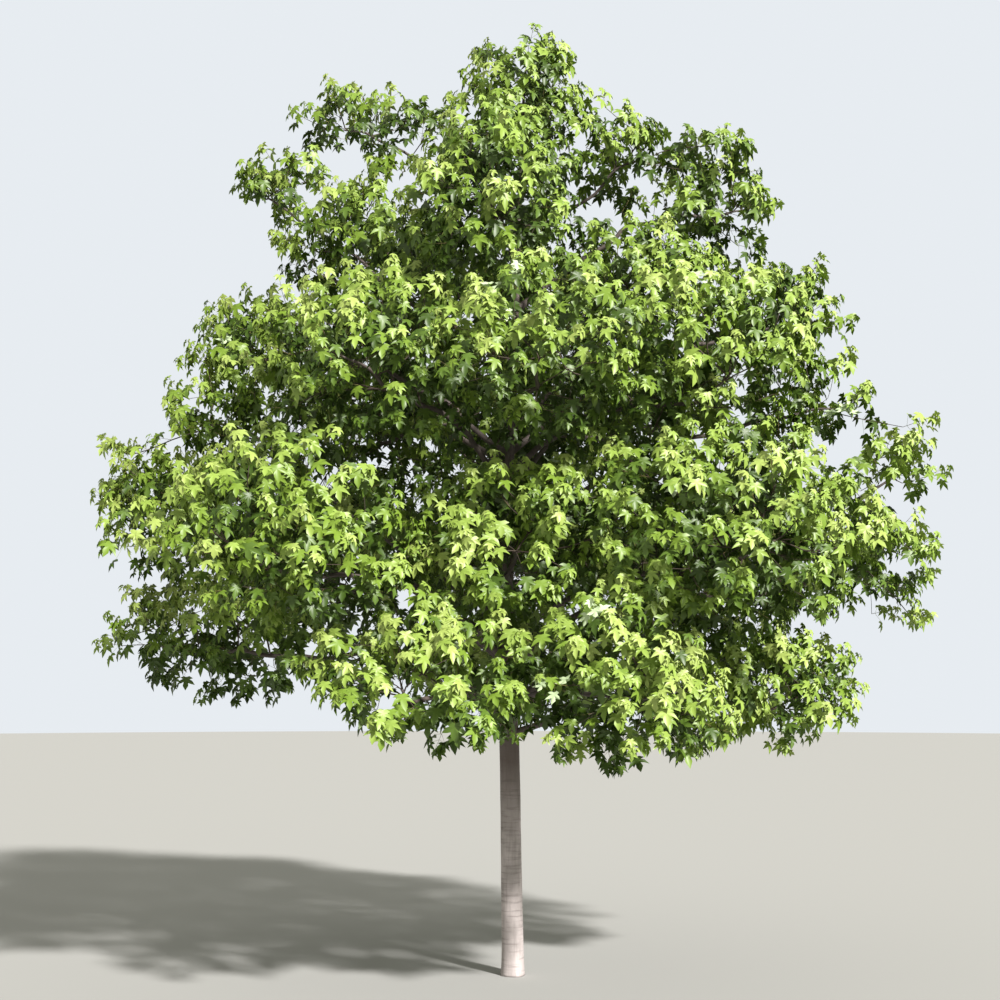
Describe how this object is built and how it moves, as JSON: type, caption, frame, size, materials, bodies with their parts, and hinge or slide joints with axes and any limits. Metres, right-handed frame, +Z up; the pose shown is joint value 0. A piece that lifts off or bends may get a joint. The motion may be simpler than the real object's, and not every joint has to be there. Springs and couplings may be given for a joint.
{
  "type": "maple tree",
  "caption": "Young maple tree in full leaf: a slightly leaning grey trunk with a root flare, a leader, tapering main boughs and rounded masses of foliage in a broad, open-edged crown.",
  "frame": {"origin": "middle of the flat cut under the trunk, at ground level", "axes": "+Z up along the trunk, -Y towards the front of the tree, +X to its right as seen from the front"},
  "size_m": [5.9623, 4.8718, 6.64],
  "materials": {
    "bark": "smooth pale grey bark with fine cracks and rings",
    "foliage": "mid-green leaves, yellow-green where the growth is new"
  },
  "bodies": {
    "root": {"trunk": "bark", "bough_high_front": "bark", "bough_high_left": "bark", "bough_high_right": "bark", "bough_low_back": "bark", "bough_low_front_left": "bark", "bough_low_front_right": "bark", "bough_low_left": "bark", "bough_low_right": "bark", "bough_mid_back": "bark", "bough_mid_back_left": "bark", "bough_mid_back_right": "bark", "bough_mid_front": "bark", "bough_mid_front_left": "bark", "bough_mid_front_right": "bark", "bough_mid_right": "bark", "bough_upper_left": "bark", "bough_upper_right": "bark", "bough_wide_back": "bark", "bough_wide_back_left": "bark", "bough_wide_back_right": "bark", "bough_wide_front": "bark", "bough_wide_front_left": "bark", "bough_wide_front_right": "bark", "bough_wide_left": "bark", "bough_wide_right": "bark", "foliage_high_back": "foliage", "foliage_high_back_left": "foliage", "foliage_high_front": "foliage", "foliage_high_front_right": "foliage", "foliage_high_left": "foliage", "foliage_high_left_tip": "foliage", "foliage_high_right": "foliage", "foliage_low_back": "foliage", "foliage_low_front_left": "foliage", "foliage_low_front_right": "foliage", "foliage_low_left": "foliage", "foliage_low_right": "foliage", "foliage_mid_back": "foliage", "foliage_mid_back_left": "foliage", "foliage_mid_back_right": "foliage", "foliage_mid_front": "foliage", "foliage_mid_front_left": "foliage", "foliage_mid_front_right": "foliage", "foliage_mid_left": "foliage", "foliage_mid_right": "foliage", "foliage_top_left": "foliage", "foliage_top_middle": "foliage", "foliage_top_right": "foliage", "foliage_upper_left": "foliage", "foliage_upper_right": "foliage", "foliage_wide_back": "foliage", "foliage_wide_back_left": "foliage", "foliage_wide_back_right": "foliage", "foliage_wide_front": "foliage", "foliage_wide_front_left": "foliage", "foliage_wide_front_right": "foliage", "foliage_wide_left": "foliage", "foliage_wide_right": "foliage", "foliage_wide_right_tip": "foliage"}
  },
  "joints": []
}
